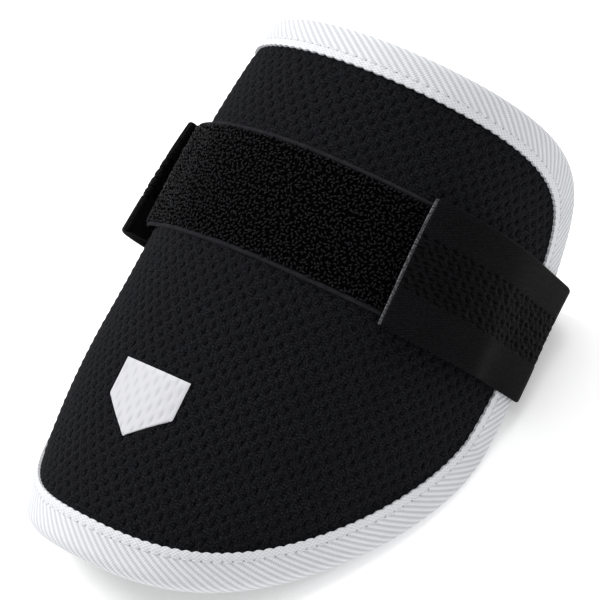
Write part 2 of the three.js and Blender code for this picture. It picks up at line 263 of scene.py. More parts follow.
def pits(u, v, pattern):
    """1 in the middle of a pit of the pattern, 0 between the pits."""
    nearest = np.inf
    c, s = math.cos(pattern["slant"]), math.sin(pattern["slant"])
    wide, high = pattern["cell"]
    for number in (0, 1):
        x = u / wide - number * pattern["shift"] / wide
        y = v / high - number / 2
        x = (x - np.round(x)) * wide
        y = (y - np.round(y)) * high
        along, aside = (c * x + s * y) / pattern["half"][0], (c * y - s * x) / pattern["half"][1]
        nearest = np.minimum(nearest, along**2 + aside**2)
    return np.exp(-nearest)


# The shell's surface.


def bend_radius(along):
    tongue = np.maximum(0, TONGUE_START - along) / TAPER_LENGTH
    square = np.maximum(0, along - SQUARE_START) / TAPER_LENGTH
    ends = SQUARE_EASING * square**2 - TONGUE_TIGHTENING * tongue**2
    return BEND_RADIUS * np.maximum(1 - BEND_TAPER * along / TAPER_LENGTH + ends, LEAST_RADIUS)


def turn_at(arc, radius):
    share = arc / (radius * BEND_LIMIT)
    return BEND_LIMIT * share / (1 + np.abs(share) ** BEND_SHARPNESS) ** (1 / BEND_SHARPNESS)


def ridge_height(along):
    tongue = np.maximum(0, TONGUE_START - along) ** 2 / (2 * TONGUE_BEND_RADIUS)
    square = np.maximum(0, along - SQUARE_START) ** 2 / (2 * SQUARE_BEND_RADIUS)
    return along**2 / (2 * HOLLOW_RADIUS) - tongue - square


def shell_normals(arc, along):
    turn = turn_at(arc, bend_radius(along))
    rise = ridge_height(along + SLOPE_STEP / 2) - ridge_height(along - SLOPE_STEP / 2)
    return unit(np.stack([np.sin(turn), -rise / SLOPE_STEP, np.cos(turn)], -1))


def bent_points(arc, along, height):
    """Points over the cloth at an arc from the ridge and a place along the arm, in the shell's frame."""
    arc, along, height = np.broadcast_arrays(arc, along, height)
    step = arc / SECTION_STEPS
    middles = (np.arange(SECTION_STEPS) + 0.5) * step[..., None]
    turn = turn_at(middles, bend_radius(along)[..., None])
    x = np.cos(turn).sum(-1) * step
    z = ridge_height(along) - np.sin(turn).sum(-1) * step
    points = np.stack([x, along, z], -1)
    return points + height[..., None] * shell_normals(arc, along)


def pitched(points):
    y, z = points[..., 1], points[..., 2]
    c, s = math.cos(REST_PITCH), math.sin(REST_PITCH)
    return np.stack([points[..., 0], c * y - s * z, s * y + c * z], -1)


# The cut outline.


def side_arc(along):
    return HALF_ARC * (1 + ARC_TAPER * (along - CENTRE_ALONG) / TAPER_LENGTH)


def roundings(upper):
    """The outline's exponents along and across, at the square end where upper and else at the tongue."""
    return [np.where(upper, *pair) for pair in zip(SQUARE_ROUNDING, TONGUE_ROUNDING)]


def outline(count, steps=OUTLINE_STEPS):
    """The outline as count evenly spaced places (arc, along), from the tongue's tip up the right side."""
    angle = np.arange(steps + 1) * 2 * math.pi / steps
    upper = np.cos(angle) < 0
    reach = np.where(upper, SQUARE_LENGTH, -TONGUE_LENGTH)
    by_along, by_across = roundings(upper)
    offset = reach * np.abs(np.cos(angle)) ** (2 / by_along)
    across = side_arc(CENTRE_ALONG + offset) * np.abs(np.sin(angle)) ** (2 / by_across)
    places = np.stack([np.sign(np.sin(angle)) * across, CENTRE_ALONG + offset], -1)
    reached = distances(places)
    return at_distance(np.arange(count) * reached[-1] / count, reached, places), reached[-1]


def inward(loop):
    tangents = unit(np.roll(loop, -1, 0) - np.roll(loop, 1, 0))
    return np.stack([-tangents[:, 1], tangents[:, 0]], -1)


def inside_outline(arc, along):
    offset = along - CENTRE_ALONG
    upper = offset > 0
    reach = np.where(upper, SQUARE_LENGTH, TONGUE_LENGTH)
    by_along, by_across = roundings(upper)
    return np.abs(offset / reach) ** by_along + np.abs(arc / side_arc(along)) ** by_across < 1


def rim_distance(arc, along):
    """Distance from the rim, along the cloth, of each place in a grid. It is 0 outside the outline."""
    loop, _ = outline(DISTANCE_PLACES)
    tree = kdtree.KDTree(len(loop))
    for i, (x, y) in enumerate(loop):
        tree.insert((x, y, 0), i)
    tree.balance()
    flat = [tree.find((x, y, 0))[2] for x, y in zip(arc.ravel(), along.ravel())]
    return np.where(inside_outline(arc, along), np.array(flat).reshape(arc.shape), 0)


def rest_shift():
    """What moves the pitched shell to where it lies: its binding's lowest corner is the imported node's."""
    loop, _ = outline(*PACKED_OUTLINE)
    angle = np.pi * np.arange(PACKED_NOSE + 1) / PACKED_NOSE
    half = RIM_THICKNESS / 2
    corners = []
    for inset, depth in [*zip(half - half * np.sin(angle), half - half * np.cos(angle)),
                         (TAPE_WIDTH, 0), (TAPE_WIDTH, RIM_THICKNESS)]:
        places = loop + inward(loop) * inset
        corners.append(pitched(bent_points(places[:, 0], places[:, 1], -depth)).min(0))
    return np.array(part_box("edge_binding")[0]) - np.min(corners, 0)


SHIFT = rest_shift()
_, RIM_LENGTH = outline(8)


def fitted(pitch):
    """The pitch nearest to this that divides the rim's length."""
    return RIM_LENGTH / round(RIM_LENGTH / pitch)


RIPPLE_AROUND = fitted(RIPPLE_PITCH / math.sin(RIPPLE_ANGLE))
RIPPLE_ACROSS = RIPPLE_PITCH / math.cos(RIPPLE_ANGLE)
CHECK_AROUND = fitted(CHECK_PITCH / math.cos(RIPPLE_ANGLE))
CHECK_ACROSS = CHECK_PITCH / math.sin(RIPPLE_ANGLE)
ROW_AROUND = fitted(ROW_PITCH / math.sin(RIPPLE_ANGLE))
ROW_ACROSS = ROW_PITCH / math.cos(RIPPLE_ANGLE)
STITCH_AROUND = fitted(STITCH_PITCH)


def on_shell(arc, along, height):
    """Points over the cloth, where the guard lies."""
    return pitched(bent_points(arc, along, height)) + SHIFT


# Meshes.


def added(name, data):
    made = bpy.data.objects.new(name, data)
    scene.collection.objects.link(made)
    return made


def make_piece(name, points, groups, place, nodes, material, sharp=SHEET_CREASE):
    """A smooth-shaded piece that rides on the guard. The faces of a group have equally many corners.
    place holds two surface coordinates, in metres, for each point or for each corner of each face."""
    corners = np.concatenate([faces.ravel() for faces in groups])
    sizes = np.concatenate([np.full(len(faces), faces.shape[1]) for faces in groups])
    if len(place) == len(points):
        place = place[corners]
    used, corners = np.unique(corners, return_inverse=True)
    mesh = bpy.data.meshes.new(name)
    mesh.vertices.add(len(used))
    mesh.vertices.foreach_set("co", points[used].astype(np.float32).ravel())
    mesh.loops.add(len(corners))
    mesh.loops.foreach_set("vertex_index", corners.astype(np.int32))
    mesh.polygons.add(len(sizes))
    mesh.polygons.foreach_set("loop_start", (np.cumsum(sizes) - sizes).astype(np.int32))
    mesh.update(calc_edges=True)
    mesh.uv_layers.new(name="place").data.foreach_set("uv", place.astype(np.float32).ravel())
    mesh.validate()
    mesh.polygons.foreach_set("use_smooth", np.ones(len(mesh.polygons), bool))
    mesh.set_sharp_from_angle(angle=math.radians(sharp))
    mesh.materials.append(material)
    piece = added(name, mesh)
    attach(piece, "root")
    if nodes:
        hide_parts(*nodes)
    return piece


def outward(points, groups):
    """The groups of faces, turned round if the body that they close is inside out."""
    volume = 0
    for faces in groups:
        corners = points[faces]
        for k in range(1, faces.shape[1] - 1):
            volume += np.einsum("ij,ij->", corners[:, 0], np.cross(corners[:, k], corners[:, k + 1]))
    return groups if volume > 0 else [faces[:, ::-1] for faces in groups]


def grid_faces(shape, cells, first=0):
    rows, columns = shape
    index = first + np.arange(rows * columns).reshape(rows, columns)
    return np.stack([index[:-1, :-1], index[1:, :-1], index[1:, 1:], index[:-1, 1:]], -1)[cells]


def slab_faces(top, bottom, cells, finer=(1, 1)):
    """Points and faces of a closed body between two grids of points, over the cells that are kept.
    The top grid may be finer than the bottom one, by whole numbers of faces along each side of a cell."""
    rows, columns = bottom.shape[:2]
    top_columns = top.shape[1]
    under = top.shape[0] * top_columns
    top_cells = np.repeat(np.repeat(cells, finer[0], 0), finer[1], 1)
    quads = [grid_faces(top.shape[:2], top_cells), grid_faces((rows, columns), cells, under)[:, ::-1]]
    row, column = np.meshgrid(np.arange(rows - 1), np.arange(columns - 1), indexing="ij")
    around = np.pad(cells, 1)
    walls = []
    for start, step, neighbour in [
        ((0, 0), (1, 0), around[1:-1, :-2]),
        ((1, 0), (0, 1), around[2:, 1:-1]),
        ((1, 1), (-1, 0), around[1:-1, 2:]),
        ((0, 1), (0, -1), around[:-2, 1:-1]),
    ]:
        edge = cells & ~neighbour
        i, j = row[edge] + start[0], column[edge] + start[1]
        below = under + i * columns + j
        below_end = under + (i + step[0]) * columns + j + step[1]
        above = i * finer[0] * top_columns + j * finer[1]
        stride = step[0] * top_columns + step[1]
        for k in range(finer[0] if step[0] else finer[1]):
            walls.append(np.stack([below_end, above + (k + 1) * stride, above + k * stride], -1))
        walls.append(np.stack([below_end, above, below], -1))
    points = np.concatenate([top.reshape(-1, 3), bottom.reshape(-1, 3)])
    return points, outward(points, [np.concatenate(quads), np.concatenate(walls)])


def slab(name, top, bottom, place, node, material, sharp=SHEET_CREASE):
    points, groups = slab_faces(top, bottom, np.ones((top.shape[0] - 1, top.shape[1] - 1), bool))
    place = np.tile(np.stack(place, -1).reshape(-1, 2), (2, 1))
    return make_piece(name, points, groups, place, (node,), material, sharp)


def thread_body(name, lines, radius, to_shell, material):
    """Short closed tubes along lines of places, fused into one piece. to_shell moves their points."""
    count, steps = lines.shape[:2]
    tangents = unit(np.gradient(lines, axis=1))
    side = unit(np.cross(tangents, (0, 0, 1)))
    up = np.cross(side, tangents)
    angle = math.tau * np.arange(THREAD_SIDES) / THREAD_SIDES
    ring = radius * (np.cos(angle)[:, None] * side[:, :, None] + np.sin(angle)[:, None] * up[:, :, None])
    points = to_shell((lines[:, :, None] + ring).reshape(-1, 3))
    index = np.arange(len(points)).reshape(count, steps, THREAD_SIDES)
    around = np.roll(index, -1, 2)
    walls = np.stack([index[:, :-1], index[:, 1:], around[:, 1:], around[:, :-1]], -1).reshape(-1, 4)
    first, last = index[:, 0], index[:, -1]
    caps = []
    for k in range(1, THREAD_SIDES - 2, 2):
        caps.append(np.stack([first[:, 0], first[:, k], first[:, k + 1], first[:, k + 2]], -1))
        caps.append(np.stack([last[:, k + 2], last[:, k + 1], last[:, k], last[:, 0]], -1))
    faces = outward(points, [np.concatenate([walls, *caps])])
    reach = np.linspace(0, 1, steps)[None, :, None] * np.ones((count, 1, THREAD_SIDES))
    place = np.stack([reach.ravel(), np.tile(angle, count * steps)], -1)
    return make_piece(name, points, faces, place, (), material, THREAD_CREASE)


# Materials. A look adds nodes to one material's tree.


class Look:
    def __init__(self, name, colour, roughness, **values):
        self.material = bpy.data.materials.new(name)
        self.material.use_nodes = True
        self.tree = self.material.node_tree
        self.shader = self.tree.nodes["Principled BSDF"]
        self.material.diffuse_color = (*colour, 1)
        values.update(Base_Color=(*colour, 1), Roughness=roughness)
        for key, value in values.items():
            self.shader.inputs[key.replace("_", " ")].default_value = value

    def node(self, kind, inputs=(), **settings):
        made = self.tree.nodes.new(kind)
        for key, value in settings.items():
            setattr(made, key, value)
        for key, value in dict(inputs).items():
            if isinstance(value, bpy.types.NodeSocket):
                self.tree.links.new(value, made.inputs[key])
            else:
                made.inputs[key].default_value = value
        return made

    def math(self, operation, a, b=0.0, c=0.0):
        return self.node("ShaderNodeMath", {0: a, 1: b, 2: c}, operation=operation).outputs[0]

    def times(self, a, b, c=None):
        """a times b, plus c where it is given."""
        return self.math("MULTIPLY", a, b) if c is None else self.math("MULTIPLY_ADD", a, b, c)

    def place(self):
        """The two surface coordinates in metres."""
        uv = self.node("ShaderNodeUVMap", uv_map="place").outputs[0]
        parts = self.node("ShaderNodeSeparateXYZ", {0: uv})
        return uv, parts.outputs[0], parts.outputs[1]

    def wave(self, coordinate, period):
        """A cosine of that period, from -1 to 1."""
        return self.math("COSINE", self.times(coordinate, math.tau / period))

    def slanted_wave(self, first, second, by_first, by_second):
        """A cosine, from -1 to 1, with slanted crests. Its periods along both coordinates are given."""
        turned = self.times(second, math.tau / by_second)
        return self.math("COSINE", self.times(first, math.tau / by_first, turned))

    def noise(self, vector, scale, detail=2.0, roughness=0.5):
        inputs = {"Vector": vector, "Scale": scale, "Detail": detail, "Roughness": roughness}
        return self.node("ShaderNodeTexNoise", inputs).outputs[0]

    def ramp(self, value, low, high, to_low=0.0, to_high=1.0):
        inputs = {0: value, 1: low, 2: high, 3: to_low, 4: to_high}
        return self.node("ShaderNodeMapRange", inputs, interpolation_type="SMOOTHSTEP").outputs[0]

    def blend(self, factor, first, second):
        """From the first colour to the second. The first may be a socket."""
        if isinstance(first, tuple):
            first = (*first, 1)
        inputs = {0: factor, 6: first, 7: (*second, 1)}
        return self.node("ShaderNodeMix", inputs, data_type="RGBA").outputs[2]

    def pits(self, u, v, pattern, size=1.0):
        nearest = None
        c, s = math.cos(pattern["slant"]), math.sin(pattern["slant"])
        wide, high = (side / 2 for side in pattern["cell"])
        half_along, half_aside = pattern["half"]
        for number in (0, 1):
            x = self.math("WRAP", self.math("SUBTRACT", u, number * pattern["shift"]), wide, -wide)
            y = self.math("WRAP", self.math("SUBTRACT", v, number * high), high, -high)
            along = self.times(x, c / half_along, self.times(y, s / half_along))
            aside = self.times(y, c / half_aside, self.times(x, -s / half_aside))
            far = self.times(along, along, self.times(aside, aside))
            nearest = far if nearest is None else self.math("MINIMUM", nearest, far)
        return self.ramp(nearest, 0.1 * size, 1.3 * size, 1.0, 0.0)

    def colour(self, factor, first, second):
        self.tree.links.new(self.blend(factor, first, second), self.shader.inputs["Base Color"])

    def rough(self, socket):
        self.tree.links.new(socket, self.shader.inputs["Roughness"])

    def bumped(self, height, distance, strength):
        """The finished material, with this relief."""
        made = self.node("ShaderNodeBump", {"Height": height, "Distance": distance, "Strength": strength})
        self.tree.links.new(made.outputs[0], self.shader.inputs["Normal"])
        return self.material


def mesh_cloth():
    look = Look(
        "mesh_cloth", (0.0055, 0.0056, 0.0066), 0.8, Sheen_Weight=0.015, Sheen_Roughness=0.35,
        Sheen_Tint=(0.72, 0.76, 0.86, 1), Specular_IOR_Level=0.05,
    )
    uv, across, along = look.place()
    dent = look.pits(across, along, DENTS, 0.8)
    loops = look.times(look.wave(across, CLOTH_LOOPS[0]), look.wave(along, CLOTH_LOOPS[1]))
    grain = look.noise(uv, 1500.0, 3.0, 0.7)
    patches = look.noise(uv, 60.0, 3.0)
    lit = look.times(loops, 0.14, look.ramp(grain, 0.42, 0.62, 0.0, 1.05))
    lit = look.times(lit, look.ramp(patches, 0.25, 0.75, 0.78, 1.15))
    body = look.blend(lit, (0.0015, 0.00155, 0.0019), (0.0186, 0.0192, 0.0228))
    # The dents are painted darker than the cloth round them: painted shade in the recesses.
    look.colour(look.times(dent, 0.12), body, (0.0006, 0.0006, 0.0007))
    look.rough(look.ramp(patches, 0.3, 0.7, 0.74, 0.86))
    return look.bumped(look.times(dent, -0.3, look.times(lit, 0.7)), 0.4 * MM, 0.9)


def binding_tape():
    look = Look(
        "binding_tape", (0.69, 0.7, 0.73), 0.78, Sheen_Weight=0.05, Sheen_Roughness=0.5,
        Specular_IOR_Level=0.2,
    )
    uv, around, across = look.place()
    edge = look.math("MINIMUM", across, look.math("SUBTRACT", TAPE_ACROSS, across))
    body = look.ramp(edge, STITCH_INSET - 0.2 * MM, STITCH_INSET + 0.4 * MM)
    rib = look.slanted_wave(across, around, RIPPLE_ACROSS, -RIPPLE_AROUND)
    check = look.slanted_wave(across, around, CHECK_ACROSS, CHECK_AROUND)
    row = look.slanted_wave(across, around, ROW_ACROSS, ROW_AROUND)
    dot = look.slanted_wave(across, around, ROW_ACROSS, -ROW_AROUND)
    main = look.times(check, 0.5, rib)
    strip = look.times(dot, 0.4, look.times(row, 0.4))
    cord = look.times(look.math("SUBTRACT", main, strip), body, strip)
    soiling = look.noise(uv, 45.0, 4.0)
    cloth = look.blend(soiling, (0.69, 0.7, 0.725), (0.79, 0.795, 0.81))
    # The tape is painted darker where cord is low: painted shade in the valleys of the bias ripples, along
    # with the pattern of its crossing threads.
    shaded = look.blend(look.ramp(cord, -1.35, 0.7, 0.52, 0.0), cloth, (0.3, 0.31, 0.35))
    from_seam = look.math("ABSOLUTE", look.math("SUBTRACT", edge, STITCH_INSET))
    at_seam = look.ramp(from_seam, 0.1 * MM, 0.5 * MM, 0.55, 0.0)
    # The needle holes along the seam are painted dark: painted shade in the holes.
    hole = look.times(look.ramp(look.wave(around, STITCH_AROUND), 0.55, 0.95), at_seam)
    look.colour(hole, shaded, (0.1, 0.1, 0.115))
    return look.bumped(cord, 0.14 * MM, 0.8)


def binding_thread():
    look = Look("binding_thread", (0.8, 0.81, 0.83), 0.5, Sheen_Weight=0.2)
    _, along, around = look.place()
    twist = look.math("COSINE", look.times(along, 30.0, around))
    # The twist's grooves are painted darker: painted shade in the grooves.
    look.colour(look.ramp(twist, -1.0, 0.4), (0.5, 0.51, 0.54), (0.82, 0.83, 0.85))
    return look.bumped(twist, 0.05 * MM, 0.6)


def pile_base():
    look = Look("pile_band", (0.002, 0.002, 0.002), 0.9, Specular_IOR_Level=0.03)
    uv, across, along = look.place()
    from_middle = look.math("ABSOLUTE", look.math("SUBTRACT", along, BAND_ALONG))
    ends = (BAND_WIDTH / 2 - share * SELVAGE_WIDTH for share in (1, 0.6))
    pile = look.ramp(from_middle, *ends, 1.0, 0.0)
    weave = look.times(look.wave(across, RIB_PITCH), look.wave(along, 0.6 * MM))
    ribbed = look.times(weave, 0.2, look.noise(uv, 260.0, 3.0))
    selvage = look.blend(ribbed, (0.008, 0.008, 0.0094), (0.03, 0.0304, 0.035))
    # Under the pile the ground is painted near black: painted shade among the loops.
    look.colour(pile, selvage, (0.0008, 0.0008, 0.0009))
    return look.bumped(weave, 0.12 * MM, 0.8)


def pile_loop():
    look = Look("pile_loop", (0.004, 0.004, 0.0045), 0.5, Specular_IOR_Level=0.06)
    _, along, _ = look.place()
    # Each loop's crown is painted lighter than its sides: a painted highlight where the lamps fall on the
    # tops, and painted shade down the sides.
    top = look.ramp(look.math("ABSOLUTE", look.math("SUBTRACT", along, 0.5)), 0.05, 0.4, 1.0, 0.0)
    look.colour(top, (0.0006, 0.0006, 0.0007), (0.0098, 0.0101, 0.0116))
    look.rough(look.ramp(top, 0.0, 1.0, 0.8, 0.42))
    return look.material


def knit_elastic():
    look = Look(
        "knit_elastic", (0.0024, 0.0024, 0.0028), 0.8, Sheen_Weight=0.045, Sheen_Roughness=0.15,
        Specular_IOR_Level=0.04,
    )
    uv, run, across = look.place()
    ribs = look.wave(run, RIB_PITCH)
    strands = look.wave(across, 0.62 * MM)
    twill = look.slanted_wave(run, across, *STRAP_TWILL)
    height = look.times(strands, 0.3, look.times(twill, 1.1, ribs))
    tone = look.noise(uv, 60.0, 3.0)
    fine = look.ramp(look.noise(uv, 900.0), 0.35, 0.65)
    lit = look.times(fine, 0.5, look.times(tone, 0.5))
    body = look.blend(lit, (0.0012, 0.0012, 0.0014), (0.01, 0.0101, 0.0118))
    # The knit is painted darker where its relief is low: painted shade in the hollows between the ribs and
    # strands.
    woven = look.blend(look.ramp(height, -2.0, 1.2, 0.75, 0.0), body, (0.0008, 0.0008, 0.001))
    zone = look.times(
        look.ramp(across, KNIT_FROM - MM, KNIT_FROM + MM),
        look.ramp(across, KNIT_TO - MM, KNIT_TO + MM, 1.0, 0.0),
    )
    slot = look.times(look.pits(run, across, SLOTS), zone)
    # The open slots are painted near black: painted shade inside them.
    look.colour(look.times(slot, 0.9), woven, (0.0002, 0.0002, 0.0003))
    return look.bumped(look.times(slot, -2.0, height), 0.1 * MM, 0.8)


def hook_patch():
    look = Look("hook_patch", (0.12, 0.122, 0.13), 0.6, Specular_IOR_Level=0.25)
    uv, _, _ = look.place()
    hooks = look.noise(uv, 1300.0)
    look.colour(look.ramp(hooks, 0.42, 0.58), (0.045, 0.045, 0.05), (0.15, 0.152, 0.16))
    return look.bumped(hooks, 0.15 * MM, 0.8)


def mark_film():
    look = Look(
        "mark_film", (0.58, 0.585, 0.61), 0.45, Coat_Weight=0.05, Coat_Roughness=0.35,
        Specular_IOR_Level=0.25,
    )
    uv, across, along = look.place()
    dent = look.pits(across, along, DENTS, 1.8)
    # The film is painted darker over the cloth's dents: painted shade in the dents.
    look.colour(dent, (0.535, 0.535, 0.56), (0.475, 0.48, 0.505))
    fine = look.times(look.noise(uv, 900.0), 0.12)
    return look.bumped(look.times(dent, -0.5, fine), 0.12 * MM, 0.5)


# The padding: its cloth is swollen by a simulation, and the dents are pressed into the result.


def puffs(arc, along):
    """1 where the cloth stands highest between the dents, -1 at the dents."""
    return -np.cos(math.tau * arc / DENT_CELL[0]) * np.cos(math.tau * along / DENT_CELL[1])


def under_band(arc, along, margin):
    """1 under the band, falling to 0 over a margin round it."""
    out_along = np.abs(along - BAND_ALONG) - BAND_WIDTH / 2
    out_across = np.maximum(-BAND_LEFT - arc, arc - BAND_RIGHT)
    return 1 - smooth(np.maximum(out_along, out_across) / margin)


def grid(step_across, step_along, finer=(1, 1)):
    """Places (arc, along) on a grid over the cloth. finer divides its steps and keeps its corners."""
    rows = math.ceil(side_arc(CENTRE_ALONG + SQUARE_LENGTH) / step_across)
    low = math.floor((CENTRE_ALONG - TONGUE_LENGTH) / step_along)
    high = math.ceil((CENTRE_ALONG + SQUARE_LENGTH) / step_along)
    arc = np.linspace(-rows * step_across, rows * step_across, 2 * rows * finer[0] + 1)
    along = np.linspace(low * step_along, high * step_along, (high - low) * finer[1] + 1)
    return np.meshgrid(arc, along, indexing="ij")


def kept_cells(distance):
    inside = distance > PAD_EDGE
    return inside[:-1, :-1] & inside[1:, :-1] & inside[1:, 1:] & inside[:-1, 1:]


def face_depths(distance):
    """Depths of the padding's outer and inner cloth before it swells."""
    field = smooth((distance - TAPE_WIDTH) / TAPE_SHOULDER)
    outer = TAPE_SEAT + (PAD_START - TAPE_SEAT) * field
    inner_seat = RIM_THICKNESS - TAPE_SEAT
    inner = inner_seat + (PAD_THICKNESS - PAD_START - inner_seat) * field
    return outer, inner


def swelling():
    """The low corner of a coarse grid, and how far the cloth swells there on each face: a cloth simulation
    with air pressure inside."""
    arc, along = grid(SWELL_STEP, SWELL_STEP)
    low = arc[0, 0], along[0, 0]
    distance = rim_distance(arc, along)
    free = smooth((distance - TAPE_WIDTH) / SWELL_STEP) * (1 - under_band(arc, along, SWELL_STEP / 2))
    outer, inner = face_depths(distance)
    top, bottom = on_shell(arc, along, -outer), on_shell(arc, along, -inner)
    points, (quads, walls) = slab_faces(top, bottom, kept_cells(distance))
    used, inverse = np.unique(np.concatenate([quads.ravel(), walls.ravel()]), return_inverse=True)
    quads, walls = inverse[: quads.size].reshape(quads.shape), inverse[quads.size :].reshape(walls.shape)
    mesh = bpy.data.meshes.new("swelling")
    mesh.from_pydata(points[used].tolist(), [], quads.tolist() + walls.tolist())
    body = added("swelling", mesh)
    held = body.vertex_groups.new(name="held")
    for i, weight in enumerate(1 - np.tile(free.ravel(), 2)[used]):
        held.add([i], float(weight), "REPLACE")
    normals = pitched(shell_normals(arc, along)).reshape(-1, 3)
    normals = np.concatenate([normals, -normals])[used]
    rise = np.zeros(len(points))
    rise[used] = ((simulated(body) - points[used]) * normals).sum(1)
    bpy.data.objects.remove(body)
    outer, inner = (PAD_SWELL * np.tanh(np.maximum(rise, 0) / PAD_SWELL)).reshape(2, *arc.shape)
    return low, outer, inner


def simulated(body):
    """Where the body's points are when it has moved as cloth."""
    cloth = body.modifiers.new("cloth", "CLOTH")
    for key, value in SWELL_CLOTH.items():
        setattr(cloth.settings, key, value)
    cloth.settings.effector_weights.gravity = 0
    cloth.point_cache.frame_start = 1
    cloth.point_cache.frame_end = SWELL_FRAMES
    for number in range(1, SWELL_FRAMES + 1):
        scene.frame_set(number)
    evaluated = body.evaluated_get(bpy.context.evaluated_depsgraph_get())
    moved = np.zeros(3 * len(evaluated.data.vertices), np.float32)
    evaluated.data.vertices.foreach_get("co", moved)
    scene.frame_set(1)
    return moved.reshape(-1, 3).astype(float)


def sampled(values, arc, along):
    """Smooth samples of the coarse grid's values at other places: a cubic B-spline."""
    values = np.pad(values, ((1, 2), (1, 2)), mode="edge")
    x = np.clip((arc - coarse_low[0]) / SWELL_STEP, 0, values.shape[0] - 3)
    y = np.clip((along - coarse_low[1]) / SWELL_STEP, 0, values.shape[1] - 3)
    i, j = np.minimum(x.astype(int), values.shape[0] - 4), np.minimum(y.astype(int), values.shape[1] - 4)
    total = 0
    for a, by_x in enumerate(spline_weights(x - i)):
        for b, by_y in enumerate(spline_weights(y - j)):
            total = total + by_x * by_y * values[i + a, j + b]
    return total


def spline_weights(t):
    return (1 - t) ** 3 / 6, (3 * t**3 - 6 * t**2 + 4) / 6, (-3 * t**3 + 3 * t**2 + 3 * t + 1) / 6, t**3 / 6


coarse_low, outer_swell, inner_swell = swelling()


def cloth_height(arc, along):
    """Height of the outer cloth, without its dents, over the shell's surface."""
    return sampled(outer_swell, arc, along) - PAD_START


def mesh_pad():
    fine, coarse = grid(*HALF_CELL, OUTER_FACES), grid(*HALF_CELL)
    distance, inner_distance = rim_distance(*fine), rim_distance(*coarse)
    loose = smooth((distance - TAPE_WIDTH) / DENT_START) * (1 - under_band(*fine, MM))
    relief = PUFF_HEIGHT * puffs(*fine) - DENT_DEPTH * pits(*fine, DENTS)
    height = sampled(outer_swell, *fine) - face_depths(distance)[0] + loose * relief
    depth = sampled(inner_swell, *coarse) + face_depths(inner_distance)[1]
    top, bottom = on_shell(*fine, height), on_shell(*coarse, -depth)
    points, groups = slab_faces(top, bottom, kept_cells(inner_distance), OUTER_FACES)
    place = np.concatenate([np.stack(places, -1).reshape(-1, 2) for places in (fine, coarse)])
    piece = make_piece("mesh_pad", points, groups, place, ("pad_shell",), mesh_cloth())
    return piece


# The binding: a tape folded over the rim, with bias ripples, a scalloped edge and a sunk seam.


def tape_section():
    """Rings across the tape: inset, depth, outward direction (both), distance from its outer edge."""
    half = RIM_THICKNESS / 2
    inner = half - TAPE_THICKNESS
    flat = TAPE_WIDTH - half
    around = flat + math.pi * half
    rings = []
    for inset in np.linspace(TAPE_WIDTH, half, OUTER_RINGS, endpoint=False):
        rings.append((inset, 0, 0, -1, TAPE_WIDTH - inset))
    for angle in np.linspace(0, math.pi, NOSE_RINGS, endpoint=False):
        s, c = math.sin(angle), math.cos(angle)
        rings.append((half - half * s, half - half * c, -s, -c, flat + half * angle))
    for inset in np.linspace(half, TAPE_WIDTH, INNER_RINGS):
        rings.append((inset, RIM_THICKNESS, 0, 1, around + inset - half))
    rings.append((TAPE_WIDTH, RIM_THICKNESS - TAPE_THICKNESS, 0, 0, around + flat))
    for angle in np.linspace(math.pi, 0, HIDDEN_RINGS):
        s, c = math.sin(angle), math.cos(angle)
        rings.append((half - inner * s, half - inner * c, 0, 0, around + flat))
    rings.append((TAPE_WIDTH, TAPE_THICKNESS, 0, 0, 0))
    return np.array(rings)


def tape_relief(around, across, edge):
    """Height of the tape's ripples and seam. edge is the distance from the nearer edge of the tape."""
    body = smooth((edge - STITCH_INSET) / MM)
    ripple = np.cos(math.tau * (across / RIPPLE_ACROSS - around / RIPPLE_AROUND))
    seam = np.exp(-(((edge - STITCH_INSET) / SEAM_WIDTH) ** 2))
    hole = 0.5 + 0.5 * np.cos(math.tau * around / STITCH_AROUND)
    pillow = PILLOW_HEIGHT * (1 - hole) * np.sin(math.pi * np.clip(edge / STITCH_INSET, 0, 1))
    return RIPPLE_HEIGHT * (ripple - 0.6) * body + pillow - seam * (SEAM_DEPTH + HOLE_DEPTH * hole**3)


def binding():
    count = round(RIM_LENGTH / TAPE_STEP)
    loop, _ = outline(count)
    normals = inward(loop)
    for _ in range(TAPE_ROUNDS):
        normals = (np.roll(normals, 1, 0) + normals + np.roll(normals, -1, 0)) / 3
    around = (np.arange(count) * RIM_LENGTH / count)[None]
    inset, depth, by_inset, by_depth, across = tape_section().T[..., None]
    edge = TAPE_WIDTH - inset
    relief = tape_relief(around, across, edge) * ((by_inset != 0) | (by_depth != 0))
    scallop = SCALLOP_DEPTH * (np.abs(np.sin(math.pi * around / STITCH_AROUND)) - 0.7)
    inset = inset + relief * by_inset + scallop * np.clip(1 - edge / SCALLOP_REACH, 0, 1)
    places = loop + normals * inset[..., None]
    rings = on_shell(places[..., 0], places[..., 1], -depth - relief * by_depth)
    points = rings.reshape(-1, 3)
    index = np.arange(len(points)).reshape(rings.shape[:2])
    beside = np.roll(index, -1, 0)
    faces = np.stack([index, beside, np.roll(beside, -1, 1), np.roll(index, -1, 1)], -1).reshape(-1, 4)
    groups = outward(points, [faces])
    place = np.stack(np.broadcast_arrays(around, across), -1).reshape(-1, 2)[groups[0]]
    closing = np.ptp(place[..., 0], axis=1) > RIM_LENGTH / 2
    place[closing, :, 0] += np.where(place[closing, :, 0] < RIM_LENGTH / 2, RIM_LENGTH, 0)
    piece = make_piece(
        "white_binding", points, groups, place.reshape(-1, 2), ("edge_binding",),
        binding_tape(),
    )
    stitches = binding_stitches(loop, normals)
    return piece


